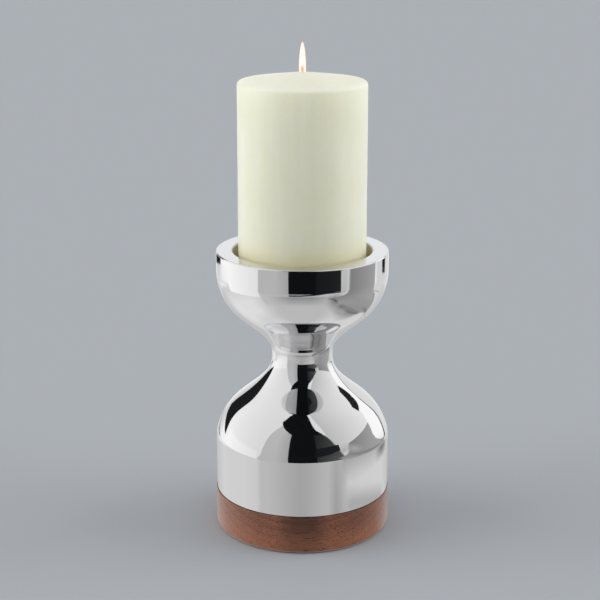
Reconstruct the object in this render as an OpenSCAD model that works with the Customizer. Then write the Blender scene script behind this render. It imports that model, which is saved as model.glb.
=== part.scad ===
// Pillar candle holder: two polished castings, a cup over a bell, on a turned wooden base, with its candle.
// Millimetres, +Z up. The origin is the middle of the foot, on the surface that the holder stands on.

/* [Candle] */
// Diameter of the candle at its foot
candle_d = 76.2; // [60:0.1:90]
// Height of the candle's side, up to its shoulder
candle_side_h = 124.5; // [80:0.5:180]
// How much narrower the candle's radius is at the shoulder, from the mould's draft
candle_draft = 0.35; // [0:0.05:1]
// Height of the low peak round the wick, above the shoulder
candle_peak_h = 5.5; // [2:0.1:10]
// Radius of the candle's worn shoulder
candle_shoulder_round = 2.7; // [1:0.1:5]
// Radius of the candle's foot edge
candle_foot_round = 1; // [0.5:0.1:2]
// Diameter of the braided wick
wick_d = 2.6; // [1.5:0.1:4]
// Length of wick that stands out of the wax
wick_out = 5; // [3:0.5:12]
// Width of the sustainer's disc beyond its collar
sustainer_rim = 7.8; // [4:0.1:12]
// Thickness of the sustainer's tin
sustainer_t = 0.5; // [0.3:0.1:1]
// Wall of the sustainer's collar
sustainer_wall = 0.85; // [0.4:0.05:1.5]
// Height of the sustainer's collar above its disc
sustainer_collar_h = 4; // [2:0.5:8]

/* [Cup] */
// Space left round the candle in the cup
cup_clearance = 3.4; // [1:0.1:6]
// Depth of the cup below the lip
cup_depth = 25; // [15:0.5:32]
// Radius in the corner between the cup's floor and its wall
cup_floor_round = 2.5; // [1:0.1:3]
// Thickness of the bowl's wall at the lip
lip_w = 9.75; // [5:0.25:14]
// Radius of the lip's outer edge
lip_outer_round = 0.8; // [0.3:0.1:2]
// Radius of the lip's inner edge
lip_inner_round = 1; // [0.3:0.1:2]
// Height of the bowl, from the waist to the lip
bowl_h = 65.5; // [58:0.5:80]
// Radius of the round below the bowl's straight wall
bowl_round = 31.5; // [24:0.5:36]
// Lean of the bowl's cone from the upright, in degrees
bowl_lean = 48; // [40:0.5:56]

/* [Bell] */
// Diameter of the waist, where the two castings meet
waist_d = 36.7; // [30:0.1:44]
// Radius of the hollow curve of the neck
neck_round = 18.75; // [12:0.25:22]
// Height of the bell, from its foot to the waist
bell_h = 84; // [76:0.5:100]
// Outside diameter of the bell's straight wall
bell_d = 105; // [90:0.5:130]
// Radius of the bell's shoulder
shoulder_round = 28; // [20:0.5:34]
// Lean of the shoulder's cone from the upright, in degrees
shoulder_lean = 48; // [40:0.5:56]
// Thickness of the bell's wall
bell_wall = 4; // [2.5:0.25:6]
// Thickness of the bell's web under the waist
web_h = 12; // [9:0.5:15]
// Radius of the bell's foot edge
bell_foot_round = 0.7; // [0.3:0.1:1.5]

/* [Wooden base] */
// Thickness of the wooden base
wood_h = 22.7; // [18:0.1:35]
// How far the wood stands out beyond the bell
wood_reveal = 0.5; // [0:0.1:3]
// Radius of the wood's upper edge
wood_top_round = 0.5; // [0.2:0.1:2]
// Radius of the wood's lower edge
wood_foot_round = 1.4; // [0.5:0.1:3]
// Height of the raised register that centres the wood in the bell
register_h = 3; // [2:0.5:6]
// Clearance round the register
register_gap = 0.3; // [0.1:0.05:0.8]
// Thickness of the felt pad
felt_t = 2; // [1.5:0.1:4]
// How far the felt holds the wood above the table
foot_gap = 0.8; // [0.4:0.1:1.2]
// Distance from the wood's edge to the felt's edge
felt_inset = 8; // [5:0.5:16]
// Clearance round the felt in its seat
felt_gap = 0.2; // [0.1:0.05:0.5]

/* [Fasteners] */
// Diameter of the tie rod
rod_d = 8; // [6:0.5:10]
// Clearance in threads, on the radius
thread_gap = 0.05; // [0.02:0.01:0.1]
// Clearance round the rod in plain holes, on the radius
rod_gap = 0.5; // [0.2:0.1:1]
// Depth of the tapped hole in the cup, from the end of its spigot
tap_depth = 22; // [14:0.5:30]
// Space left above the rod in the tapped hole
tap_end_gap = 1; // [0.5:0.1:3]
// Wall of the cup's spigot round the tapped hole
spigot_wall = 5; // [3:0.25:7]
// Length of the spigot that centres the cup in the bell
spigot_h = 5; // [3:0.5:7]
// Clearance round the spigot in its socket
spigot_gap = 0.1; // [0.05:0.05:0.3]
// Space left below the spigot in its socket
spigot_end_gap = 0.4; // [0.2:0.1:1]
// Distance from the rod to a flat of the nuts
nut_wall = 2.5; // [2:0.25:4]
// Height of the nuts
nut_h = 6.5; // [5:0.5:8]
// Width of the neck washer's rim
neck_washer_rim = 4; // [3:0.5:6]
// Thickness of the neck washer
neck_washer_t = 1.6; // [1:0.1:3]
// Width of the base washer's rim
base_washer_rim = 8; // [4:0.5:12]
// Thickness of the base washer
base_washer_t = 2; // [1:0.1:3]
// Width of the spring washer's section
spring_rim = 3.2; // [2:0.1:4]
// Thickness of the spring washer
spring_t = 2; // [1:0.1:3]
// Width of the spring washer's slit
spring_slit = 1.2; // [0.6:0.1:2]
// Length of rod that shows below the base nut
rod_end = 2; // [1:0.5:4]
// Space left between the rod and the felt
rod_end_gap = 1.5; // [0.5:0.5:4]
// Clearance round the base washer in its pocket
pocket_gap = 1; // [0.5:0.1:3]

/* [Hidden] */
$fn = 96;

// Steps of a long curve and of a small edge
curve_steps = 20;
edge_steps = 6;
// How far a cut runs past the face that it opens
cut_over = 1;

// Heights, from the table up
base_top = foot_gap + wood_h;
waist_z = base_top + bell_h;
lip_z = waist_z + bowl_h;
cup_floor_z = lip_z - cup_depth;

// Radii of the candle, cup and bowl
candle_r = candle_d / 2;
candle_top_r = candle_r - candle_draft;
bore_r = candle_r + cup_clearance;
bowl_r = bore_r + lip_w;

// Radii of the waist, bell and base
waist_r = waist_d / 2;
bell_r = bell_d / 2;
bell_inner_r = bell_r - bell_wall;
wood_r = bell_r + wood_reveal;
register_r = bell_inner_r - register_gap;
felt_r = wood_r - felt_inset;

// Fasteners
rod_r = rod_d / 2;
thread_r = rod_r + thread_gap;
rod_hole_r = rod_r + rod_gap;
spigot_r = thread_r + spigot_wall;
spigot_z = waist_z - spigot_h;
socket_z = spigot_z - spigot_end_gap;
web_z = waist_z - web_h;
neck_washer_r = thread_r + neck_washer_rim;
base_washer_r = thread_r + base_washer_rim;
spring_r = thread_r + spring_rim;
pocket_r = base_washer_r + pocket_gap;
rod_bottom_z = felt_t + rod_end_gap;
base_nut_z = rod_bottom_z + rod_end;
spring_z = base_nut_z + nut_h;
base_washer_z = spring_z + spring_t;
pocket_z = base_washer_z + base_washer_t;
tap_z = spigot_z + tap_depth;

// Wick and sustainer
wick_r = wick_d / 2;
wick_hole_r = wick_r + thread_gap;
collar_r = wick_hole_r + sustainer_wall;
sustainer_r = collar_r + sustainer_rim;
candle_shoulder_z = cup_floor_z + candle_side_h;
candle_peak_z = candle_shoulder_z + candle_peak_h;

// Height from the waist to the end of a round, across the neck's curve, a cone that leans, and the round
function flare_h(r, rounds, lean) =
    rounds * sin(lean) + (r - waist_r - rounds * (1 - cos(lean))) / tan(lean);

// Centres of the three curves of the hourglass, as radius and height
neck_centre = [waist_r + neck_round, waist_z];
bowl_centre = [bowl_r - bowl_round, waist_z + flare_h(bowl_r, bowl_round + neck_round, bowl_lean)];
shoulder_centre = [bell_r - shoulder_round, waist_z - flare_h(bell_r, shoulder_round + neck_round, shoulder_lean)];

// Points of an arc from one angle to another
function arc(centre, r, from, to, steps) =
    [for (i = [0:steps]) centre + r * [cos(from + (to - from) * i / steps), sin(from + (to - from) * i / steps)]];

// Angle at which the bell's inside meets the underside of its web
web_angle = asin(web_h / (neck_round + bell_wall));

// The candle's side and top lean by these angles, and their normals place the round between them
draft_angle = atan(candle_draft / candle_side_h);
peak_angle = atan(candle_peak_h / candle_top_r);
side_normal = [cos(draft_angle), sin(draft_angle)];
top_normal = [sin(peak_angle), cos(peak_angle)];
shoulder_step = (side_normal + top_normal) / (1 + side_normal * top_normal);
candle_shoulder_centre = [candle_top_r, candle_shoulder_z] - candle_shoulder_round * shoulder_step;

// Upper casting: spigot, half the neck, bowl, lip and the recess for the candle
module cup() {
    color("silver")
    rotate_extrude()
    polygon(concat(
        [[0, tap_z], [thread_r, tap_z], [thread_r, spigot_z], [spigot_r, spigot_z], [spigot_r, waist_z]],
        arc(neck_centre, neck_round, 180, 180 - bowl_lean, curve_steps),
        arc(bowl_centre, bowl_round, -bowl_lean, 0, curve_steps),
        arc([bowl_r - lip_outer_round, lip_z - lip_outer_round], lip_outer_round, 0, 90, edge_steps),
        arc([bore_r + lip_inner_round, lip_z - lip_inner_round], lip_inner_round, 90, 180, edge_steps),
        arc([bore_r - cup_floor_round, cup_floor_z + cup_floor_round], cup_floor_round, 0, -90, edge_steps),
        [[0, cup_floor_z]]
    ));
}

// Lower casting: half the neck, web with its socket, shoulder and straight wall, hollow below
module bell() {
    color("gainsboro")
    rotate_extrude()
    polygon(concat(
        [[rod_hole_r, web_z], [rod_hole_r, socket_z], [spigot_r + spigot_gap, socket_z]],
        [[spigot_r + spigot_gap, waist_z]],
        arc(neck_centre, neck_round, 180, 180 + shoulder_lean, curve_steps),
        arc(shoulder_centre, shoulder_round, shoulder_lean, 0, curve_steps),
        arc([bell_r - bell_foot_round, base_top + bell_foot_round], bell_foot_round, 0, -90, edge_steps),
        [[bell_inner_r, base_top]],
        arc(shoulder_centre, shoulder_round - bell_wall, 0, shoulder_lean, curve_steps),
        arc(neck_centre, neck_round + bell_wall, 180 + shoulder_lean, 180 + web_angle, edge_steps)
    ));
}

// Rod that draws the whole holder together; its thread is drawn plain
module tie_rod() {
    color("slategray")
    translate([0, 0, rod_bottom_z])
    cylinder(h = tap_z - tap_end_gap - rod_bottom_z, r = rod_r);
}

// Flat ring on the rod
module ring(z, h, r) {
    translate([0, 0, z])
    difference() {
        cylinder(h = h, r = r);
        translate([0, 0, -cut_over])
        cylinder(h = h + 2 * cut_over, r = thread_r);
    }
}

// Hexagon nut on the rod
module hexagon_nut(z) {
    translate([0, 0, z])
    difference() {
        cylinder(h = nut_h, r = (rod_r + nut_wall) / cos(30), $fn = 6);
        translate([0, 0, -cut_over])
        cylinder(h = nut_h + 2 * cut_over, r = thread_r);
    }
}

// Washer under the bell's web
module neck_washer() {
    color("lightslategray")
    ring(web_z - neck_washer_t, neck_washer_t, neck_washer_r);
}

// Nut that clamps the bell to the cup
module neck_nut() {
    color("lightslategray")
    hexagon_nut(web_z - neck_washer_t - nut_h);
}

// Turned base with its register, rod hole, fastener pocket and felt seat
module wood_base() {
    color("sienna")
    rotate_extrude()
    polygon(concat(
        [[rod_hole_r, pocket_z], [pocket_r, pocket_z], [pocket_r, felt_t], [felt_r + felt_gap, felt_t]],
        [[felt_r + felt_gap, foot_gap]],
        arc([wood_r - wood_foot_round, foot_gap + wood_foot_round], wood_foot_round, -90, 0, edge_steps),
        arc([wood_r - wood_top_round, base_top - wood_top_round], wood_top_round, 0, 90, edge_steps),
        [[register_r, base_top], [register_r, base_top + register_h], [rod_hole_r, base_top + register_h]]
    ));
}

// Wide washer against the wood
module base_washer() {
    color("lightslategray")
    ring(base_washer_z, base_washer_t, base_washer_r);
}

// Split washer, drawn pressed flat
module spring_washer() {
    color("dimgray")
    difference() {
        ring(spring_z, spring_t, spring_r);
        translate([0, -spring_slit / 2, spring_z - cut_over])
        cube([spring_r + cut_over, spring_slit, spring_t + 2 * cut_over]);
    }
}

// Nut that clamps the base
module base_nut() {
    color("lightslategray")
    hexagon_nut(base_nut_z);
}

// Felt disc that the holder stands on
module felt_pad() {
    color("darkgreen")
    cylinder(h = felt_t, r = felt_r);
}

// Candle with its low peak, its wick hole and the seat of the sustainer
module candle_wax() {
    color("ivory")
    rotate_extrude()
    polygon(concat(
        [[wick_hole_r, cup_floor_z + sustainer_t + sustainer_collar_h + thread_gap]],
        [[collar_r + thread_gap, cup_floor_z + sustainer_t + sustainer_collar_h + thread_gap]],
        [[collar_r + thread_gap, cup_floor_z + sustainer_t + thread_gap]],
        [[sustainer_r + thread_gap, cup_floor_z + sustainer_t + thread_gap]],
        [[sustainer_r + thread_gap, cup_floor_z]],
        arc([candle_r - candle_foot_round, cup_floor_z + candle_foot_round], candle_foot_round, -90, 0, edge_steps),
        arc(candle_shoulder_centre, candle_shoulder_round, draft_angle, 90 - peak_angle, edge_steps),
        [[wick_hole_r, candle_peak_z - wick_hole_r * tan(peak_angle)]]
    ));
}

// Cotton wick, from the candle's foot to its tip above the wax
module wick() {
    color("tan")
    translate([0, 0, cup_floor_z])
    cylinder(h = candle_peak_z + wick_out - cup_floor_z, r = wick_r);
}

// Tin disc and collar that hold the wick's lower end
module wick_sustainer() {
    color("lightgray")
    rotate_extrude()
    polygon([
        [wick_hole_r, cup_floor_z],
        [sustainer_r, cup_floor_z],
        [sustainer_r, cup_floor_z + sustainer_t],
        [collar_r, cup_floor_z + sustainer_t],
        [collar_r, cup_floor_z + sustainer_t + sustainer_collar_h],
        [wick_hole_r, cup_floor_z + sustainer_t + sustainer_collar_h]
    ]);
}

cup();
bell();
tie_rod();
neck_washer();
neck_nut();
wood_base();
base_washer();
spring_washer();
base_nut();
felt_pad();
candle_wax();
wick();
wick_sustainer();
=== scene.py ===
"""Looks of an hourglass candle holder: two polished castings, a turned base, a pillar candle.

Sizes in the classes are millimetres. Meshes are metres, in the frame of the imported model: the
origin is the middle of the foot, +Z runs up the axis, and -Y faces the camera.
"""

import logging
import math
from collections.abc import Callable
from dataclasses import dataclass
from enum import Enum
from functools import partial

import bpy
import numpy as np
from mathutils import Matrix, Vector


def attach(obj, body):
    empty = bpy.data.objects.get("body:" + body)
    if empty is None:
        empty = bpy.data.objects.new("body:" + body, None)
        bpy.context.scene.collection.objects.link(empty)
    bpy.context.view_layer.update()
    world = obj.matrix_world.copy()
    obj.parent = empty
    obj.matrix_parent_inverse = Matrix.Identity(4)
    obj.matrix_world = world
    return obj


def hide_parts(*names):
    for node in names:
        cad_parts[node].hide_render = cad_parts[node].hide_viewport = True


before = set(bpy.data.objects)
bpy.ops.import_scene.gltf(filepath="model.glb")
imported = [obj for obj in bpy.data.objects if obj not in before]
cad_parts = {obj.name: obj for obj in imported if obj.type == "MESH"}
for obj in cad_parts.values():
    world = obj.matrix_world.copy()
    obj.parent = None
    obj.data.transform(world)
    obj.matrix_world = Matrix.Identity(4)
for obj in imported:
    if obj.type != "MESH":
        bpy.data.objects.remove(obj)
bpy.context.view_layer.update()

LOG = logging.getLogger("candle_holder")

# One millimetre in the metres of the frame
MM = 0.001
# Two points closer than this, in millimetres, are one point
SAME = 1e-6
# Steps round a turned piece that shows, and round a small hidden one
FINE_TURN = 192
SMALL_TURN = 96
# Edges that bend by more than this many degrees stay sharp
SHARP = 32.0
# Largest angle between two points of a tiny rounded edge
EDGE_STEP = 15.0
# Brightness of white in what mirrors see
MIRROR_GLOW = 1.27

# One number, or an array of them
Numbers = float | np.ndarray
# Numbers that belong together, such as a radius and a height, or a place
Pair = tuple[float, float]
Triple = tuple[float, float, float]
# A row of a flat: the azimuth and the elevation of each of its ends
Row = tuple[Pair, Pair]
# What adds a node to a tree that is already chosen
AddNode = Callable[..., bpy.types.Node]


class Body(Enum):
    """The two bodies of the model: what stands, and what lifts out of it."""

    HOLDER = "holder"
    CANDLE = "candle"


class Slot(Enum):
    """The material slots of the record."""

    POLISHED_METAL = "polished_metal"
    PLATED_STEEL = "plated_steel"
    LACQUERED_WOOD = "lacquered_wood"
    FELT = "felt"
    WAX = "wax"
    WICK_COTTON = "wick_cotton"
    TINPLATE = "tinplate"


def linear(colour: str) -> tuple[float, ...]:
    """Turn an sRGB hex colour into the linear colour that a shader takes.

    Args:
        colour: Six hex digits after a hash sign.

    Returns:
        Red, green, blue and an alpha of one.
    """
    srgb = np.array([int(colour[i:i + 2], 16) for i in (1, 3, 5)]) / 255.0
    light = np.where(srgb <= 0.04045, srgb / 12.92, ((srgb + 0.055) / 1.055) ** 2.4)
    return (*(float(channel) for channel in light), 1.0)


def repeats(spacing: float) -> float:
    """Repeats in a metre of a pattern whose spacing is in millimetres."""
    return 1 / (spacing * MM)


def metres(*sizes: float) -> tuple[float, ...]:
    """Sizes in millimetres as metres."""
    return tuple(size * MM for size in sizes)


def add_node(
    tree: bpy.types.NodeTree, kind: str, settings: dict | None = None, links: dict | None = None
) -> bpy.types.Node:
    """Add one shader node with its settings and links.

    Args:
        tree: The node tree.
        kind: The node's type name, without the start that all shader nodes share.
        settings: Values by name. A name that is no property of the node is one of its inputs.
        links: What feeds an input, by its name or number: an output, or a node's first output.

    Returns:
        The new node.
    """
    made = tree.nodes.new("ShaderNode" + kind)
    for name, value in (settings or {}).items():
        if isinstance(name, str) and hasattr(made, name):
            setattr(made, name, value)
        else:
            made.inputs[name].default_value = value
    for name, source in (links or {}).items():
        output = source.outputs[0] if isinstance(source, bpy.types.Node) else source
        tree.links.new(output, made.inputs[name])
    return made


def make_material(name: str, surface: Callable[[AddNode], bpy.types.Node]) -> bpy.types.Material:
    """Make a material of the shader that a function adds to its empty node tree.

    Args:
        name: The material's name.
        surface: Adds the nodes and returns the shader.

    Returns:
        The material.
    """
    made = bpy.data.materials.new(name)
    made.use_nodes = True
    made.node_tree.nodes.clear()
    add = partial(add_node, made.node_tree)
    add("OutputMaterial", links={"Surface": surface(add)})
    return made


def show(name: str, mesh: bpy.types.Mesh) -> bpy.types.Object:
    """Make an object of a mesh and link it into the scene, at the origin.

    Args:
        name: The object's name.
        mesh: Its mesh, in metres.

    Returns:
        The object.
    """
    made = bpy.data.objects.new(name, mesh)
    bpy.context.scene.collection.objects.link(made)
    return made


def arc(
    centre: Pair | np.ndarray, radius: float, start: float, end: float, step: float = 6.0
) -> np.ndarray:
    """Points of an arc: the centre plus the radius times the cosine and sine of each angle.

    Args:
        centre: Radius and height of the arc's centre.
        radius: Radius of the arc.
        start: First angle, in degrees from the outward direction.
        end: Last angle, in degrees.
        step: Largest angle between two points.

    Returns:
        An array of radius and height.
    """
    count = max(2, math.ceil(abs(end - start) / step) + 1)
    angle = np.radians(np.linspace(start, end, count))
    return np.array(centre) + radius * np.stack([np.cos(angle), np.sin(angle)], axis=-1)


def straight(
    start: np.ndarray, end: np.ndarray, step: float = 3.0, guard: float = 0.1
) -> np.ndarray:
    """Points of a straight run: even steps, and a guard close to each end that keeps shading flat.

    Args:
        start: First point.
        end: Last point.
        step: Largest distance between two points.
        guard: Distance of the guard points from the ends.

    Returns:
        An array of radius and height.
    """
    length = float(np.linalg.norm(end - start))
    steps = math.ceil(length / step) + 1
    share = np.linspace(0.0, 1.0, steps) if length > SAME else np.zeros(1)
    if length > 4 * guard:
        share = np.unique(np.concatenate([share, [guard / length, 1 - guard / length]]))
    return start + share[:, None] * (end - start)


def contour(*runs: np.ndarray | Pair, loop: bool = False) -> np.ndarray:
    """Join arcs and corners into one outline, with straight runs between them.

    Args:
        runs: Arcs and single corners, in order.
        loop: Whether a straight run leads back to the start.

    Returns:
        An array of radius and height, with no point twice.
    """
    parts = [np.atleast_2d(np.asarray(run, dtype=float)) for run in runs]
    if loop:
        parts.append(parts[0][:1])
    joined = [parts[0]]
    for before, after in zip(parts, parts[1:]):
        joined += [straight(before[-1], after[0]), after]
    points = np.vstack(joined)
    moved = np.linalg.norm(np.diff(points, axis=0), axis=1) > SAME
    points = points[np.concatenate([[True], moved])]
    return points[:-1] if loop else points


def full_turn(steps: int) -> np.ndarray:
    """Angles of a whole turn in even steps, from nought to one step short of the turn."""
    return np.linspace(0.0, 2 * np.pi, steps, endpoint=False)


def around(radius: Numbers, height: Numbers, angle: np.ndarray) -> np.ndarray:
    """Points round the Z axis: (r, z) at the angle a is (r cos a, r sin a, z)."""
    return np.stack([radius * np.cos(angle), radius * np.sin(angle), height + 0 * angle], axis=-1)


def turned(outline: np.ndarray, segments: int) -> np.ndarray:
    """Carry an outline of radius and height round the Z axis: a grid of outline by angle."""
    return around(outline[:, :1], outline[:, 1:], full_turn(segments))


def tube(path: np.ndarray, radius: np.ndarray, sides: int) -> np.ndarray:
    """Carry a circle along a path that rises: each ring is square to the path, from +X round.

    Args:
        path: Points of the path.
        radius: Radius of the tube at each point.
        sides: Steps round the tube.

    Returns:
        A grid of points, path by angle.
    """
    along = np.gradient(path, axis=0)
    along /= np.linalg.norm(along, axis=1, keepdims=True)
    across = np.cross(np.array([0.0, 1.0, 0.0]), along)
    across /= np.linalg.norm(across, axis=1, keepdims=True)
    side = np.cross(along, across)
    angle = full_turn(sides)[:, None]
    ring = np.cos(angle) * across[:, None] + np.sin(angle) * side[:, None]
    return path[:, None] + radius[:, None, None] * ring


def skin(name: str, *grids: np.ndarray) -> bpy.types.Object:
    """Make one object of grids of points, each closed across itself.

    Neighbouring points are joined into four-sided faces. The second direction of a grid always
    closes. A first or last ring that has no size becomes one point with a fan of triangles round
    it; where there is none, the last ring joins the first. Each grid is turned the right way out
    by the sign of the volume that it encloses.

    Args:
        name: The object's name.
        grids: Grids of points in millimetres.

    Returns:
        The object, at the origin, with its place in its mesh.
    """
    points, faces, offset = [], [], 0
    for grid in grids:
        rings, sides = grid.shape[:2]
        size = np.ptp(grid, axis=1).max(axis=1)
        index = np.arange(rings * sides).reshape(rings, sides)
        index[size < SAME] = index[size < SAME][:, :1]
        if size[0] > SAME:
            index = np.vstack([index, index[:1]])
        low, high = index[:-1], index[1:]
        corners = [low, np.roll(low, -1, axis=1), np.roll(high, -1, axis=1), high]
        quads = np.stack(corners, axis=-1).reshape(-1, 4)
        flat = grid.reshape(-1, 3)
        first, second, third, fourth = (flat[quads[:, corner]] for corner in range(4))
        volume = np.sum(first * (np.cross(second, third) + np.cross(third, fourth)))
        quads = quads if volume > 0 else quads[:, ::-1]
        used, compact = np.unique(quads, return_inverse=True)
        compact = compact.reshape(-1, 4) + offset
        repeat = compact == np.roll(compact, 1, axis=1)
        whole = ~repeat.any(axis=1)
        faces += compact[whole].tolist()
        faces += compact[~whole][~repeat[~whole]].reshape(-1, 3).tolist()
        points.append(flat[used])
        offset += len(used)
    mesh = bpy.data.meshes.new(name)
    mesh.from_pydata((np.vstack(points) * MM).tolist(), [], faces)
    mesh.update()
    mesh.shade_smooth()
    mesh.set_sharp_from_angle(angle=math.radians(SHARP))
    return show(name, mesh)


@dataclass(frozen=True)
class Finish:
    """What every finish has: a name, and a material that is made once and shared."""

    name: str

    def material(self) -> bpy.types.Material:
        """Make the material, or give back the one that is already made."""
        return bpy.data.materials.get(self.name) or make_material(self.name, self.surface)

    def surface(self, add: AddNode) -> bpy.types.Node:
        """Add the finish's nodes and return its shader."""
        raise NotImplementedError


def dress(
    piece: bpy.types.Object, finish: Finish, body: Body, slot: Slot | None, *nodes: str
) -> None:
    """Give a piece its material and body, and let it stand for its CAD nodes.

    Args:
        piece: The new piece.
        finish: The finish that makes its material.
        body: The body that it moves with.
        slot: The record's slot of that finish, if it has one; not used.
        nodes: The CAD nodes that it replaces.
    """
    piece.data.materials.append(finish.material())
    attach(piece, body.value)
    if nodes:
        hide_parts(*nodes)
    count = len(piece.data.vertices)
    LOG.info("%s: %d points, %s, on %s", piece.name, count, finish.name, body.value)


@dataclass(frozen=True)
class PolishedAluminium(Finish):
    """Cast aluminium, turned and buffed to a mirror outside, with a bore left satin from the lathe.

    The eye sees the surroundings, a little wavy from the hand at the wheel, and very faint rings
    from the buff. In the bore it sees only a soft grey glow.
    """

    name: str = "polished_cast_aluminium"
    # A cast alloy mirrors less than pure aluminium
    colour: str = "#DDDDDE"
    # Buffing rings are far finer than a pixel, so they are drawn this wide
    ring_mm: float = 0.9
    wave_mm: float = 14.0
    smear_mm: float = 30.0
    roughness: Pair = (0.025, 0.06)
    satin: float = 0.5
    # The satin lies inside the lip's inner round and above the bore's floor
    satin_r_mm: Pair = (42.0, 42.4)
    satin_z_mm: Pair = (146.0, 147.0)
    ring_height_mm: float = 0.00025
    wave_height_mm: float = 0.004

    def surface(self, add: AddNode) -> bpy.types.Node:
        """Add a mirror with rings round the axis and a slow wave, rougher in the bore.

        Args:
            add: Adds a node to the material.

        Returns:
            The shader.
        """
        place = add("TexCoord").outputs["Object"]
        smear = repeats(self.smear_mm)
        rings = add("Mapping", {"Scale": (smear, smear, repeats(self.ring_mm))}, {"Vector": place})
        buffed = add("TexNoise", {"Scale": 1.0, "Detail": 4.0, "Roughness": 0.6}, {"Vector": rings})
        wave = add("TexNoise", {"Scale": repeats(self.wave_mm), "Detail": 1.0}, {"Vector": place})
        smooth, dull = self.roughness
        rough = add("MapRange",
                    {"From Min": 0.3, "From Max": 0.75, "To Min": smooth, "To Max": dull},
                    {"Value": buffed})
        level = add("Mapping", {"Scale": (1.0, 1.0, 0.0)}, {"Vector": place})
        radius = add("VectorMath", {"operation": "LENGTH"}, {0: level}).outputs["Value"]
        height = add("SeparateXYZ", links={0: place}).outputs["Z"]
        near, far = metres(*self.satin_r_mm)
        inside = add("MapRange", {"From Min": far, "From Max": near}, {"Value": radius})
        low, high = metres(*self.satin_z_mm)
        above = add("MapRange", {"From Min": low, "From Max": high}, {"Value": height})
        bore = add("Math", {"operation": "MULTIPLY"}, {0: inside, 1: above})
        skinned = add("Mix", {"data_type": "FLOAT", 3: self.satin}, {0: bore, 2: rough})
        slow = add("Bump", {"Strength": 1.0, "Distance": self.wave_height_mm * MM},
                   {"Height": wave})
        fine = add("Bump", {"Strength": 1.0, "Distance": self.ring_height_mm * MM},
                   {"Height": buffed, "Normal": slow})
        return add("BsdfPrincipled", {"Base Color": linear(self.colour), "Metallic": 1.0},
                   {"Roughness": skinned, "Normal": fine})


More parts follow.
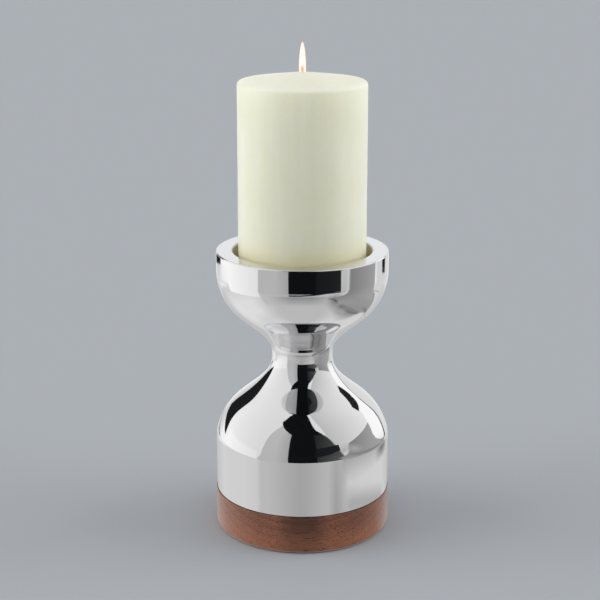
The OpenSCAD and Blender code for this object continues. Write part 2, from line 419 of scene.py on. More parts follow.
@dataclass(frozen=True)
class CandleWax(Finish):
    """Moulded paraffin and stearin wax, dyed ivory.

    Light goes a long way in, so edges glow and shadows are soft; the mould leaves faint upright
    streaks, and the skin has a low, even sheen. The foot is painted a deeper yellow, a painted
    stand-in for the warm light and shade in the cup, and painted glows brighten the wax near its
    top and down in the cup.
    """

    name: str = "moulded_ivory_wax"
    pale: str = "#F2F3E2"
    deep: str = "#EBECD3"
    # Painted cup light: the foot's yellower colour stands in for the warm light and shade in the
    # cup
    foot: str = "#F4EABA"
    ior: float = 1.44
    roughness: Pair = (0.36, 0.46)
    depth_mm: float = 14.0
    # Red light goes furthest into the wax, blue least
    depth_shares: Triple = (1.0, 0.85, 0.6)
    cloud_mm: float = 22.0
    streak_mm: float = 3.0
    streak_length_mm: float = 110.0
    pit_mm: float = 1.6
    streak_height_mm: float = 0.006
    pit_height_mm: float = 0.004
    # Heights between which the foot's painted yellow fades out, a painted stand-in for the warm
    # light and shade inside the cup
    painted_cup_light_z_mm: Pair = (158.0, 190.0)
    # Painted glow: the wax glows a little on its own, a painted stand-in for the flame's light
    # coming back out of it, less and less down to the first of these heights
    glow: str = "#FFF6DE"
    painted_glow_strength: float = 0.06
    painted_glow_z_mm: Pair = (185.0, 272.0)
    # Painted glow: down in the cup the wax glows yellow on its own, a painted stand-in for light
    # that went in above the lip and comes out there
    painted_seep: str = "#E2CB8C"
    painted_seep_strength: float = 0.1
    painted_seep_z_mm: Pair = (176.0, 160.0)

    def surface(self, add: AddNode) -> bpy.types.Node:
        """Add wax with clouds, mould streaks, fine pits, a painted yellow foot and painted glows.

        Args:
            add: Adds a node to the material.

        Returns:
            The shader.
        """
        place = add("TexCoord").outputs["Object"]
        height = add("SeparateXYZ", links={0: place}).outputs["Z"]
        across = repeats(self.streak_mm)
        upright = add("Mapping", {"Scale": (across, across, repeats(self.streak_length_mm))},
                      {"Vector": place})
        streak = add("TexNoise", {"Scale": 1.0, "Detail": 3.0, "Roughness": 0.55},
                     {"Vector": upright})
        cloud = add("TexNoise", {"Scale": repeats(self.cloud_mm), "Detail": 3.0}, {"Vector": place})
        pits = add("TexNoise", {"Scale": repeats(self.pit_mm), "Detail": 2.0}, {"Vector": place})
        both = add("Math", {"operation": "ADD"}, {0: streak, 1: cloud})
        share = add("MapRange", {"From Min": 0.6, "From Max": 1.4}, {"Value": both})
        colour = add("Mix", {"data_type": "RGBA", 6: linear(self.pale), 7: linear(self.deep)},
                     {0: share})
        # Painted cup light: yellower towards the foot
        low, high = metres(*self.painted_cup_light_z_mm)
        painted_cup_light_share = add("MapRange",
                     {"interpolation_type": "SMOOTHSTEP", "From Min": high, "From Max": low},
                     {"Value": height})
        painted_cup_light_colour = add("Mix", {"data_type": "RGBA", 7: linear(self.foot)},
                       {0: painted_cup_light_share, 6: colour.outputs[2]})
        # Painted glow: the wax glows faintly towards the top, and yellow down in the cup
        low, high = metres(*self.painted_glow_z_mm)
        painted_top_glow = add("MapRange", {"From Min": low, "From Max": high, "To Max": self.painted_glow_strength},
                  {"Value": height})
        # Painted glow in the cup: stronger further down
        high, low = metres(*self.painted_seep_z_mm)
        painted_seep_share = add("MapRange", {"From Min": high, "From Max": low}, {"Value": height})
        painted_glow_level = add("Math", {"operation": "MULTIPLY_ADD", 1: self.painted_seep_strength},
                      {0: painted_seep_share, 2: painted_top_glow})
        painted_glow_colour = add("Mix", {"data_type": "RGBA", 6: linear(self.glow), 7: linear(self.painted_seep)},
                    {0: painted_seep_share})
        smooth, dull = self.roughness
        rough = add("MapRange",
                    {"From Min": 0.3, "From Max": 0.7, "To Min": smooth, "To Max": dull},
                    {"Value": cloud})
        drawn = add("Bump", {"Strength": 1.0, "Distance": self.streak_height_mm * MM},
                    {"Height": streak})
        pitted = add("Bump", {"Strength": 1.0, "Distance": self.pit_height_mm * MM},
                     {"Height": pits, "Normal": drawn})
        return add("BsdfPrincipled",
                   {"IOR": self.ior, "Coat Weight": 0.6, "Coat Roughness": 0.42,
                    "Subsurface Weight": 1.0, "Subsurface Scale": self.depth_mm * MM,
                    "Subsurface Radius": self.depth_shares},
                   {"Base Color": painted_cup_light_colour.outputs[2], "Roughness": rough, "Normal": pitted,
                    "Emission Color": painted_glow_colour.outputs[2], "Emission Strength": painted_glow_level})


@dataclass(frozen=True)
class LacquerWood(Finish):
    """Dark reddish hardwood, turned across a board whose grain runs along X, under satin lacquer.

    Seen from the front, growth rings cut along the board draw long level bands with fine dark
    pores; the lacquer lays a soft pale sheen over them.
    """

    name: str = "turned_hardwood_satin_lacquer"
    dark: str = "#33180E"
    middle: str = "#774330"
    pale: str = "#A86B4B"
    ring_mm: float = 5.0
    pith_mm: Triple = (0.0, -70.0, 260.0)
    # Rings are drawn out along the board
    board_scale: Triple = (0.25, 1.0, 1.0)
    warp_mm: float = 40.0
    fibre_mm: float = 0.7
    fibre_length_mm: float = 22.0
    pore_mm: float = 0.55
    pore_length_mm: float = 7.0
    pore_depth_mm: float = 0.03
    roughness: Pair = (0.34, 0.5)
    lacquer_ior: float = 1.5
    # Painted shade: the board's front edge is painted dark, standing in for the shade where
    # little light comes from the front; the painted shade ends between these depths
    painted_front_shade_y_mm: Pair = (-53.0, -50.0)
    # Painted reflection: the base is painted paler below the first of these heights, standing in
    # for a reflection of the warm surface under it
    painted_foot_reflection_z_mm: Pair = (20.0, 4.0)

    def surface(self, add: AddNode) -> bpy.types.Node:
        """Add rings round a pith below the board, fibres and pores along it, painted front shade, a
        painted reflection at the foot, and the lacquer.

        Args:
            add: Adds a node to the material.

        Returns:
            The shader.
        """
        place = add("TexCoord").outputs["Object"]
        board = add("Mapping", {"Location": metres(*self.pith_mm), "Scale": self.board_scale},
                    {"Vector": place})
        # A wave of rings at scale 1 has a spacing of 2 pi / 20
        rings = add("TexWave",
                    {"wave_type": "RINGS", "rings_direction": "X", "wave_profile": "SAW",
                     "Scale": math.pi / (10 * self.ring_mm * MM), "Distortion": 2.2, "Detail": 3.0,
                     "Detail Scale": self.ring_mm / self.warp_mm * 2, "Detail Roughness": 0.6},
                    {"Vector": board})
        thick = repeats(self.fibre_mm)
        along = add("Mapping", {"Scale": (repeats(self.fibre_length_mm), thick, thick)},
                    {"Vector": place})
        fibres = add("TexNoise", {"Scale": 1.0, "Detail": 4.0, "Roughness": 0.6}, {"Vector": along})
        thin = repeats(self.pore_mm)
        split = add("Mapping", {"Scale": (repeats(self.pore_length_mm), thin, thin)},
                    {"Vector": place})
        pores = add("TexNoise", {"Scale": 1.0, "Detail": 1.0}, {"Vector": split})
        open_pore = add("MapRange", {"From Min": 0.6, "From Max": 0.72}, {"Value": pores})
        blotch = add("TexNoise", {"Scale": repeats(self.warp_mm), "Detail": 2.0}, {"Vector": board})
        parts = add("SeparateXYZ", links={0: place}).outputs
        ringed = add("MapRange", {"To Min": 0.3, "To Max": 0.75}, {"Value": rings.outputs["Fac"]})
        streaked = add("MapRange", {"From Min": 0.4, "From Max": 0.68, "To Max": 0.6},
                       {"Value": fibres})
        shade = add("MapRange", {"From Min": 0.45, "From Max": 0.7, "To Max": 0.6},
                    {"Value": blotch})
        # Painted shade: dark towards the front edge, where little light comes from the front
        edge, core = metres(*self.painted_front_shade_y_mm)
        painted_front_shade = add("MapRange", {"interpolation_type": "SMOOTHSTEP", "From Min": core,
                                 "From Max": edge, "To Max": 0.7}, {"Value": parts["Y"]})
        blotch_and_front_shade = add("Math", {"operation": "MAXIMUM"}, {0: shade, 1: painted_front_shade})
        # Painted reflection: paler towards the foot
        top, foot = metres(*self.painted_foot_reflection_z_mm)
        painted_foot_reflection = add("MapRange", {"interpolation_type": "SMOOTHSTEP", "From Min": top,
                               "From Max": foot, "To Max": 0.4}, {"Value": parts["Z"]})
        colour = add("Mix", {"data_type": "RGBA", 6: linear(self.middle), 7: linear(self.pale)},
                     {0: ringed})
        # Laid over the rings in this order: dark fibres, blotches with the painted front shade, the
        # painted foot reflection, pores
        for share, tone in ((streaked, self.dark), (blotch_and_front_shade, self.dark), (painted_foot_reflection, self.pale),
                            (open_pore, self.dark)):
            colour = add("Mix", {"data_type": "RGBA", 7: linear(tone)},
                         {0: share, 6: colour.outputs[2]})
        smooth, dull = self.roughness
        rough = add("MapRange", {"To Min": smooth, "To Max": dull}, {"Value": fibres})
        sunk = add("Bump", {"invert": True, "Strength": 0.7, "Distance": self.pore_depth_mm * MM},
                   {"Height": open_pore})
        return add("BsdfPrincipled",
                   {"Coat Weight": 0.7, "Coat Roughness": 0.22, "Coat IOR": self.lacquer_ior,
                    "Specular IOR Level": 0.15},
                   {"Base Color": colour.outputs[2], "Roughness": rough, "Normal": sunk})


@dataclass(frozen=True)
class WoolFelt(Finish):
    """Pressed wool felt, charcoal.

    The eye sees a matt, slightly clouded cloth with short crossing fibres and a soft pale sheen at
    a low angle.
    """

    name: str = "pressed_wool_felt"
    dark: str = "#232626"
    pale: str = "#3C4140"
    # Wool fibres are about 0.03 mm thick, so clumps of them are drawn this wide
    clump_mm: float = 0.6
    cloud_mm: float = 6.0
    nap_mm: float = 0.15

    def surface(self, add: AddNode) -> bpy.types.Node:
        """Add clumped fibres over slow clouds, with sheen.

        Args:
            add: Adds a node to the material.

        Returns:
            The shader.
        """
        place = add("TexCoord").outputs["Object"]
        clumps = add("TexNoise", {"Scale": repeats(self.clump_mm), "Detail": 5.0, "Roughness": 0.7,
                                  "Distortion": 1.5}, {"Vector": place})
        clouds = add("TexNoise", {"Scale": repeats(self.cloud_mm), "Detail": 2.0},
                     {"Vector": place})
        both = add("Math", {"operation": "MULTIPLY"}, {0: clumps, 1: clouds})
        share = add("MapRange", {"From Min": 0.1, "From Max": 0.45}, {"Value": both})
        colour = add("Mix", {"data_type": "RGBA", 6: linear(self.dark), 7: linear(self.pale)},
                     {0: share})
        nap = add("Bump", {"Strength": 1.0, "Distance": self.nap_mm * MM}, {"Height": clumps})
        return add("BsdfPrincipled",
                   {"Roughness": 0.95, "Sheen Weight": 0.35, "Sheen Roughness": 0.5,
                    "Specular IOR Level": 0.2},
                   {"Base Color": colour.outputs[2], "Normal": nap})


@dataclass(frozen=True)
class PlatedSteel(Finish):
    """Steel with a thin bright plate, as rolled and dipped.

    The eye sees a soft grey metal with fine drawing marks and a patchy sheen from the bath.
    """

    name: str = "zinc_plated_steel"
    colour: str = "#C3C7CA"
    patch: str = "#AEB1AE"
    patch_mm: float = 5.0
    mark_mm: float = 0.35
    mark_length_mm: float = 9.0
    roughness: Pair = (0.22, 0.42)
    mark_height_mm: float = 0.006

    def surface(self, add: AddNode) -> bpy.types.Node:
        """Add a patchy metal with fine marks.

        Args:
            add: Adds a node to the material.

        Returns:
            The shader.
        """
        place = add("TexCoord").outputs["Object"]
        along = repeats(self.mark_length_mm)
        marks = add("Mapping", {"Scale": (along, along, repeats(self.mark_mm))}, {"Vector": place})
        drawn = add("TexNoise", {"Scale": 1.0, "Detail": 3.0}, {"Vector": marks})
        bath = add("TexNoise", {"Scale": repeats(self.patch_mm), "Detail": 4.0}, {"Vector": place})
        colour = add("Mix", {"data_type": "RGBA", 6: linear(self.colour), 7: linear(self.patch)},
                     {0: bath})
        smooth, dull = self.roughness
        rough = add("MapRange",
                    {"From Min": 0.3, "From Max": 0.7, "To Min": smooth, "To Max": dull},
                    {"Value": bath})
        bump = add("Bump", {"Strength": 1.0, "Distance": self.mark_height_mm * MM},
                   {"Height": drawn})
        return add("BsdfPrincipled", {"Metallic": 1.0},
                   {"Base Color": colour.outputs[2], "Roughness": rough, "Normal": bump})


@dataclass(frozen=True)
class WickCotton(Finish):
    """Braided cotton, waxed, and charred where it burns.

    The eye sees pale thread in the wax, brown above it, and a black end that still glows dull
    orange.
    """

    name: str = "braided_cotton_charred"
    thread: str = "#E4DCC6"
    char: str = "#1C130E"
    cold: str = "#000000"
    ember: str = "#E06A18"
    char_z_mm: Pair = (277.0, 281.0)
    thread_mm: float = 0.25
    thread_height_mm: float = 0.05
    glow: float = 1.0

    def surface(self, add: AddNode) -> bpy.types.Node:
        """Add thread that turns to char up the wick.

        Args:
            add: Adds a node to the material.

        Returns:
            The shader.
        """
        place = add("TexCoord").outputs["Object"]
        height = add("SeparateXYZ", links={0: place}).outputs["Z"]
        low, high = metres(*self.char_z_mm)
        charred = add("MapRange", {"From Min": low, "From Max": high}, {"Value": height})
        threads = add("TexNoise", {"Scale": repeats(self.thread_mm), "Detail": 2.0},
                      {"Vector": place})
        colour, glowing = (
            add("Mix", {"data_type": "RGBA", 6: linear(start), 7: linear(end)}, {0: charred})
            for start, end in ((self.thread, self.char), (self.cold, self.ember))
        )
        bump = add("Bump", {"Strength": 1.0, "Distance": self.thread_height_mm * MM},
                   {"Height": threads})
        return add("BsdfPrincipled", {"Roughness": 0.8, "Emission Strength": self.glow},
                   {"Base Color": colour.outputs[2], "Emission Color": glowing.outputs[2],
                    "Normal": bump})


@dataclass(frozen=True)
class FlameGas(Finish):
    """Burning wax vapour: light with no surface of its own.

    The eye sees a plain glow, white in the core, thin orange at the rim, and clear in front of the
    wick.
    """

    name: str = "flame_core"
    foot: str = "#FFFBF2"
    tip: str = "#FFFEFA"
    unlit: str = "#000000"
    glow: float = 1.1
    opacity: float = 1.0
    # Share of the opacity that is missing in front of the wick
    clear: float = 0.78
    colour_z_mm: Pair = (279.6, 282.8)
    clear_x_mm: Pair = (1.05, 0.25)
    clear_y_mm: Pair = (-0.2, -1.0)
    clear_z_mm: Pair = (282.4, 279.6)

    def surface(self, add: AddNode) -> bpy.types.Node:
        """Add a glow that changes colour up the flame, and its opening if it has one.

        Args:
            add: Adds a node to the material.

        Returns:
            The shader.
        """
        place = add("TexCoord").outputs["Object"]
        parts = add("SeparateXYZ", links={0: place}).outputs
        low, high = metres(*self.colour_z_mm)
        share = add("MapRange",
                    {"interpolation_type": "SMOOTHSTEP", "From Min": low, "From Max": high},
                    {"Value": parts["Z"]})
        colour = add("Mix", {"data_type": "RGBA", 6: linear(self.foot), 7: linear(self.tip)},
                     {0: share})
        links = {"Emission Color": colour.outputs[2]}
        if self.clear:
            links["Alpha"] = self.opening(add, parts)
        return add("BsdfPrincipled",
                   {"Base Color": linear(self.unlit), "Roughness": 1.0, "Specular IOR Level": 0.0,
                    "Emission Strength": self.glow, "Alpha": self.opacity}, links)

    def opening(self, add: AddNode, parts: bpy.types.NodeOutputs) -> bpy.types.Node:
        """Add an alpha that drops where distance aside, depth and height are all near the wick.

        Each of the three is a smooth step, and the drop is their product.

        Args:
            add: Adds a node to the material.
            parts: The X, Y and Z of each point.

        Returns:
            The node that gives the alpha.
        """
        aside = add("Math", {"operation": "ABSOLUTE"}, {0: parts["X"]})
        beside, before, below = (
            add("MapRange", {"interpolation_type": "SMOOTHSTEP", "From Min": start * MM,
                             "From Max": end * MM}, {"Value": value})
            for value, (start, end) in (
                (aside, self.clear_x_mm), (parts["Y"], self.clear_y_mm),
                (parts["Z"], self.clear_z_mm))
        )
        level = add("Math", {"operation": "MULTIPLY"}, {0: beside, 1: before})
        drop = add("Math", {"operation": "MULTIPLY"}, {0: level, 1: below})
        return add("MapRange",
                   {"To Min": self.opacity, "To Max": self.opacity * (1 - self.clear)},
                   {"Value": drop})


@dataclass(frozen=True)
class Flank:
    """The flank of a casting, from the waist to an upright wall, as one smooth S.

    Each turn gives a share of the run along the flank and the lean from upright there, in degrees.
    """

    turns: tuple[Pair, ...]
    # Rings of points, close enough for a smooth mirror
    rings: int = 160

    def lean(self) -> np.ndarray:
        """Lean at each ring, in radians: cubic runs between the turns.

        The slope at a turn is taken from its two sides.

        Returns:
            One lean for each ring.
        """
        share, lean = np.array(self.turns).T
        slope = np.gradient(lean, share)
        at = np.linspace(0, 1, self.rings)
        left = np.clip(np.searchsorted(share, at, side="right") - 1, 0, len(share) - 2)
        width = np.diff(share)[left]
        u = (at - share[left]) / width
        ends = (1 + 2 * u) * (1 - u) ** 2 * lean[left] + u**2 * (3 - 2 * u) * lean[left + 1]
        bend = width * u * (1 - u) * ((1 - u) * slope[left] - u * slope[left + 1])
        return np.radians(ends + bend)

    def curve(self, waist_r: float, wall_r: float) -> tuple[np.ndarray, np.ndarray, np.ndarray]:
        """Follow the lean along the flank: its sine adds up to the radius, its cosine to the rise.

        The run is as long as the sum of the sines needs to reach the wall.

        Args:
            waist_r: Radius at the start.
            wall_r: Radius at the end.

        Returns:
            Radius, rise from the waist and lean at each ring.
        """
        lean = self.lean()
        middle = (lean[1:] + lean[:-1]) / 2
        radius = np.concatenate([[0.0], np.cumsum(np.sin(middle))])
        rise = np.concatenate([[0.0], np.cumsum(np.cos(middle))])
        length = (wall_r - waist_r) / radius[-1]
        return waist_r + radius * length, rise * length, lean


@dataclass
class Castings:
    """The hourglass: a cup cast with its bowl and lip, over a hollow bell, met at the waist."""

    finish: Finish = PolishedAluminium()
    waist_r: float = 18.32
    waist_z: float = 106.66
    cup_flank: Flank = Flank((
        (0.0, 0.0), (0.039, 1.9), (0.079, 5.5), (0.096, 11.8), (0.112, 19.3), (0.131, 27.1),
        (0.155, 33.5), (0.201, 40.2), (0.277, 45.2), (0.384, 50.3), (0.475, 51.6), (0.567, 46.8),
        (0.658, 37.2), (0.75, 26.6), (0.841, 18.0), (0.918, 11.1), (1.0, 0.0)))
    bell_flank: Flank = Flank((
        (0.0, 0.0), (0.06, 13.0), (0.12, 26.1), (0.2, 39.1), (0.3, 47.8), (0.4, 51.5), (0.5, 51.3),
        (0.6, 46.3), (0.7, 37.0), (0.8, 27.0), (0.88, 20.9), (0.95, 13.3), (1.0, 0.0)))
    bowl_r: float = 51.25
    lip_z: float = 173.0
    lip_outer_round: float = 0.8
    lip_inner_round: float = 1.0
    bore_r: float = 41.5
    floor_z: float = 148.0
    floor_round: float = 2.5
    thread_r: float = 4.05
    tap_z: float = 124.5
    spigot_r: float = 9.05
    spigot_z: float = 102.5
    socket_r: float = 9.15
    socket_z: float = 102.1
    rod_hole_r: float = 4.5
    bell_r: float = 52.5
    bell_foot_z: float = 23.5
    bell_foot_round: float = 0.7
    bell_wall: float = 4.0
    web_z: float = 95.5
    # The bell's unseen inside takes one in so many of the flank's rings
    inside_step: int = 4

    def cup_outline(self) -> np.ndarray:
        """Outline of the cup: tapped hole, spigot, neck, bowl, lip, bore and floor.

        Returns:
            An array of radius and height.
        """
        radius, rise, _ = self.cup_flank.curve(self.waist_r, self.bowl_r)
        outer, inner, corner = self.lip_outer_round, self.lip_inner_round, self.floor_round
        return contour(
            (0.0, self.tap_z),
            (self.thread_r, self.tap_z),
            (self.thread_r, self.spigot_z),
            (self.spigot_r, self.spigot_z),
            (self.spigot_r, self.waist_z),
            np.stack([radius, self.waist_z + rise], axis=-1),
            arc((self.bowl_r - outer, self.lip_z - outer), outer, 0, 90),
            arc((self.bore_r + inner, self.lip_z - inner), inner, 90, 180),
            arc((self.bore_r - corner, self.floor_z + corner), corner, 0, -90),
            (0.0, self.floor_z),
        )

    def bell_outline(self) -> np.ndarray:
        """Outline of the bell: socket, neck, shoulder, wall, foot, and up its inside to the web.

        The inside is the flank set back square to itself by the wall's thickness.

        Returns:
            An array of radius and height.
        """
        radius, rise, lean = self.bell_flank.curve(self.waist_r, self.bell_r)
        height = self.waist_z - rise
        inside_r = radius - self.bell_wall * np.cos(lean)
        inside_z = height - self.bell_wall * np.sin(lean)
        web_r = float(np.interp(-self.web_z, -inside_z, inside_r))
        inside = np.stack([inside_r, inside_z], axis=-1)
        foot = self.bell_foot_round
        return contour(
            (self.rod_hole_r, self.web_z),
            (self.rod_hole_r, self.socket_z),
            (self.socket_r, self.socket_z),
            (self.socket_r, self.waist_z),
            np.stack([radius, height], axis=-1),
            arc((self.bell_r - foot, self.bell_foot_z + foot), foot, 0, -90),
            (self.bell_r - self.bell_wall, self.bell_foot_z),
            inside[inside_z < self.web_z][::-self.inside_step],
            (web_r, self.web_z),
            loop=True,
        )

    def build(self) -> None:
        """Turn both castings and dress them."""
        for name, node, outline in (
            ("cup_casting", "cup", self.cup_outline()),
            ("bell_casting", "bell", self.bell_outline()),
        ):
            piece = skin(name, turned(outline, FINE_TURN))
            dress(piece, self.finish, Body.HOLDER, Slot.POLISHED_METAL, node)


@dataclass
class WoodenBase:
    """The turned base with its register, rod hole, pocket and felt seat, and the felt under it."""

    finish: Finish = LacquerWood()
    felt_finish: Finish = WoolFelt()
    wood_r: float = 53.0
    foot_z: float = 0.8
    top_z: float = 23.5
    top_round: float = 0.5
    foot_round: float = 1.4
    register_r: float = 48.2
    register_z: float = 26.5
    rod_hole_r: float = 4.5
    pocket_r: float = 13.05
    pocket_z: float = 16.0
    seat_r: float = 45.2
    felt_r: float = 45.0
    felt_t: float = 2.0
    felt_edge_round: float = 0.5

    def wood_outline(self) -> np.ndarray:
        """Outline of the base: pocket, felt seat, side, top, register and rod hole.

        Returns:
            An array of radius and height.
        """
        foot, top = self.foot_round, self.top_round
        return contour(
            (self.rod_hole_r, self.pocket_z),
            (self.pocket_r, self.pocket_z),
            (self.pocket_r, self.felt_t),
            (self.seat_r, self.felt_t),
            (self.seat_r, self.foot_z),
            arc((self.wood_r - foot, self.foot_z + foot), foot, -90, 0),
            arc((self.wood_r - top, self.top_z - top), top, 0, 90),
            (self.register_r, self.top_z),
            (self.register_r, self.register_z),
            (self.rod_hole_r, self.register_z),
            loop=True,
        )

    def felt_outline(self) -> np.ndarray:
        """Outline of the felt: a disc with soft edges.

        Returns:
            An array of radius and height.
        """
        soft = self.felt_edge_round
        return contour(
            (0.0, 0.0),
            arc((self.felt_r - soft, soft), soft, -90, 0),
            arc((self.felt_r - soft, self.felt_t - soft), soft, 0, 90),
            (0.0, self.felt_t),
        )

    def build(self) -> None:
        """Turn the base, lay the felt in its seat, and dress both."""
        wood = skin("turned_base", turned(self.wood_outline(), FINE_TURN))
        dress(wood, self.finish, Body.HOLDER, Slot.LACQUERED_WOOD, "wood_base")
        felt = skin("felt_disc", turned(self.felt_outline(), FINE_TURN))
        dress(felt, self.felt_finish, Body.HOLDER, Slot.FELT, "felt_pad")


@dataclass
class Fasteners:
    """What draws the holder together: a threaded rod, two nuts, two washers, a spring washer."""

    finish: Finish = PlatedSteel()
    rod_r: float = 4.0
    rod_foot_z: float = 3.5
    rod_top_z: float = 123.5
    pitch: float = 1.25
    thread_depth: float = 0.6
    # The thread's wave is this many times too tall, and cut off to leave a flat crest
    thread_rise: float = 1.25
    rows_per_turn: int = 10
    bore_r: float = 4.05
    nut_half_flats: float = 6.5
    nut_h: float = 6.5
    nut_face_r: float = 6.2
    nut_sides: int = 6
    nut_cone: float = 30.0
    nut_bore_chamfer: float = 0.5
    neck_nut_z: float = 87.4
    base_nut_z: float = 5.5
    neck_washer_r: float = 8.05
    neck_washer_z: Pair = (93.9, 95.5)
    base_washer_r: float = 12.05
    base_washer_z: Pair = (14.0, 16.0)
    spring_r: float = 7.25
    spring_z: Pair = (12.0, 14.0)
    spring_slit: float = 1.2
    washer_edge_round: float = 0.25

    def rod_grid(self) -> np.ndarray:
        """Threaded rod: the radius is the root plus the depth times a triangle wave.

        The wave runs with the height less a turn's rise: it is 1 at the crest and 0 at the root,
        and rises by one pitch each turn. A cone at each end limits the radius, and each end closes
        at the axis.

        Returns:
            A grid of points, height by angle.
        """
        rows = round((self.rod_top_z - self.rod_foot_z) / self.pitch * self.rows_per_turn) + 1
        height = np.linspace(self.rod_foot_z, self.rod_top_z, rows)[:, None]
        angle = full_turn(SMALL_TURN // 2)
        phase = (height / self.pitch - angle / (2 * np.pi)) % 1.0
        root = self.rod_r - self.thread_depth
        wave = np.clip(self.thread_rise * (1 - np.abs(2 * phase - 1)), 0, 1)
        cone = root + np.minimum(height - self.rod_foot_z, self.rod_top_z - height)
        grid = around(np.minimum(root + self.thread_depth * wave, cone), height, angle)
        ends = np.zeros((2, 1, grid.shape[1], 3))
        ends[0, ..., 2], ends[1, ..., 2] = self.rod_foot_z, self.rod_top_z
        return np.concatenate([ends[0], grid, ends[1]])

    def nut_grid(self, foot_z: float) -> np.ndarray:
        """Hexagon nut, its corners cut by a cone.

        The radius is half the flats over the cosine of the angle from a flat's middle.

        Args:
            foot_z: Height of the nut's lower face.

        Returns:
            A grid of points, outline by angle.
        """
        half_side = math.pi / self.nut_sides
        corner_r = self.nut_half_flats / math.cos(half_side)
        cut = (corner_r - self.nut_face_r) * math.tan(math.radians(self.nut_cone))
        top_z, bevel = foot_z + self.nut_h, self.nut_bore_chamfer
        outline = contour(
            (self.bore_r, top_z - bevel),
            (self.bore_r, foot_z + bevel),
            (self.bore_r + bevel, foot_z),
            (self.nut_face_r, foot_z),
            (corner_r, foot_z + cut),
            (corner_r, top_z - cut),
            (self.nut_face_r, top_z),
            (self.bore_r + bevel, top_z),
            loop=True,
        )
        angle = full_turn(SMALL_TURN)
        flat_r = self.nut_half_flats / np.cos(angle % (2 * half_side) - half_side)
        return around(np.minimum(outline[:, :1], flat_r), outline[:, 1:], angle)

    def section(self, outer_r: float, foot_z: float, top_z: float) -> np.ndarray:
        """Section of a washer: a rectangle with rounded corners.

        Args:
            outer_r: Outside radius.
            foot_z: Height of the lower face.
            top_z: Height of the upper face.

        Returns:
            An array of radius and height.
        """
        edge = self.washer_edge_round
        inner, outer, low, high = self.bore_r + edge, outer_r - edge, foot_z + edge, top_z - edge
        corners = ((inner, low, 180), (outer, low, 270), (outer, high, 0), (inner, high, 90))
        rounds = (arc((r, z), edge, start, start + 90, EDGE_STEP) for r, z, start in corners)
        return contour(*rounds, loop=True)

    def spring_grid(self) -> np.ndarray:
        """Spring washer: the section carried round from one side of the slit to the other.

        Each end closes at the middle of the section.

        Returns:
            A grid of points, angle by section.
        """
        radius, height = self.section(self.spring_r, *self.spring_z).T
        start = math.asin(self.spring_slit / 2 / self.bore_r)
        angle = np.linspace(start, 2 * np.pi - start, SMALL_TURN)[:, None]
        grid = around(radius, height, angle)
        middle = grid.mean(axis=1, keepdims=True).repeat(grid.shape[1], axis=1)
        return np.concatenate([middle[:1], grid, middle[-1:]])

    def build(self) -> None:
        """Make every fastener and dress it."""
        neck_ring = turned(self.section(self.neck_washer_r, *self.neck_washer_z), SMALL_TURN)
        base_ring = turned(self.section(self.base_washer_r, *self.base_washer_z), SMALL_TURN)
        for name, node, grid in (
            ("threaded_rod", "tie_rod", self.rod_grid()),
            ("neck_ring", "neck_washer", neck_ring),
            ("neck_hexagon", "neck_nut", self.nut_grid(self.neck_nut_z)),
            ("base_ring", "base_washer", base_ring),
            ("split_ring", "spring_washer", self.spring_grid()),
            ("base_hexagon", "base_nut", self.nut_grid(self.base_nut_z)),
        ):
            dress(skin(name, grid), self.finish, Body.HOLDER, Slot.PLATED_STEEL, node)


